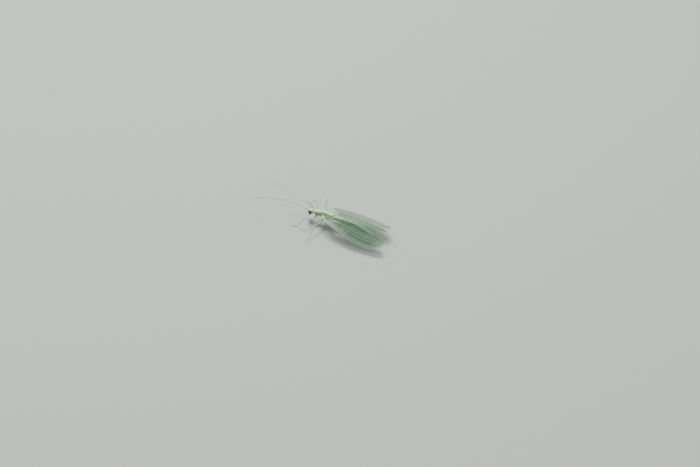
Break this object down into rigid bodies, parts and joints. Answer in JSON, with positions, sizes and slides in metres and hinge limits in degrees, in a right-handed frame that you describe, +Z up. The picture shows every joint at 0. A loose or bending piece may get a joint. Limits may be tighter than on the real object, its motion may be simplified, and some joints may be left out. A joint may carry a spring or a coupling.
{
  "type": "green lacewing",
  "caption": "Still life-size model of a green lacewing at rest on the floor, wings folded like a roof over a pale green abdomen, long antennae held forward.",
  "frame": {"origin": "middle of the bounding box's underside, on the floor", "axes": "+X from the head towards the tail along the body, +Z up, and the insect's left side towards -Y"},
  "size_m": [0.0256, 0.0122, 0.004],
  "materials": {
    "head_cuticle": "satin, cream on top and yellow-green on the cheeks",
    "eye": "glossy dark bronze with fine facets",
    "antenna_cuticle": "matt, pale straw turning browner to the tip",
    "thorax_cuticle": "satin pale green with a cream stripe along the back",
    "abdomen_cuticle": "satin pale green with a cream stripe along the back",
    "leg_cuticle": "matt pale green with straw-coloured feet",
    "wing_membrane": "clear, faintly iridescent film with green veins"
  },
  "bodies": {
    "root": {"head": "head_cuticle", "prothorax": "thorax_cuticle", "mesothorax": "thorax_cuticle", "metathorax": "thorax_cuticle", "abdomen": "abdomen_cuticle", "eye_left": "eye", "antenna_left": "antenna_cuticle", "leg_front_left": "leg_cuticle", "leg_middle_left": "leg_cuticle", "leg_hind_left": "leg_cuticle", "forewing_left": "wing_membrane", "hindwing_left": "wing_membrane", "eye_right": "eye", "antenna_right": "antenna_cuticle", "leg_front_right": "leg_cuticle", "leg_middle_right": "leg_cuticle", "leg_hind_right": "leg_cuticle", "forewing_right": "wing_membrane", "hindwing_right": "wing_membrane"}
  },
  "joints": []
}
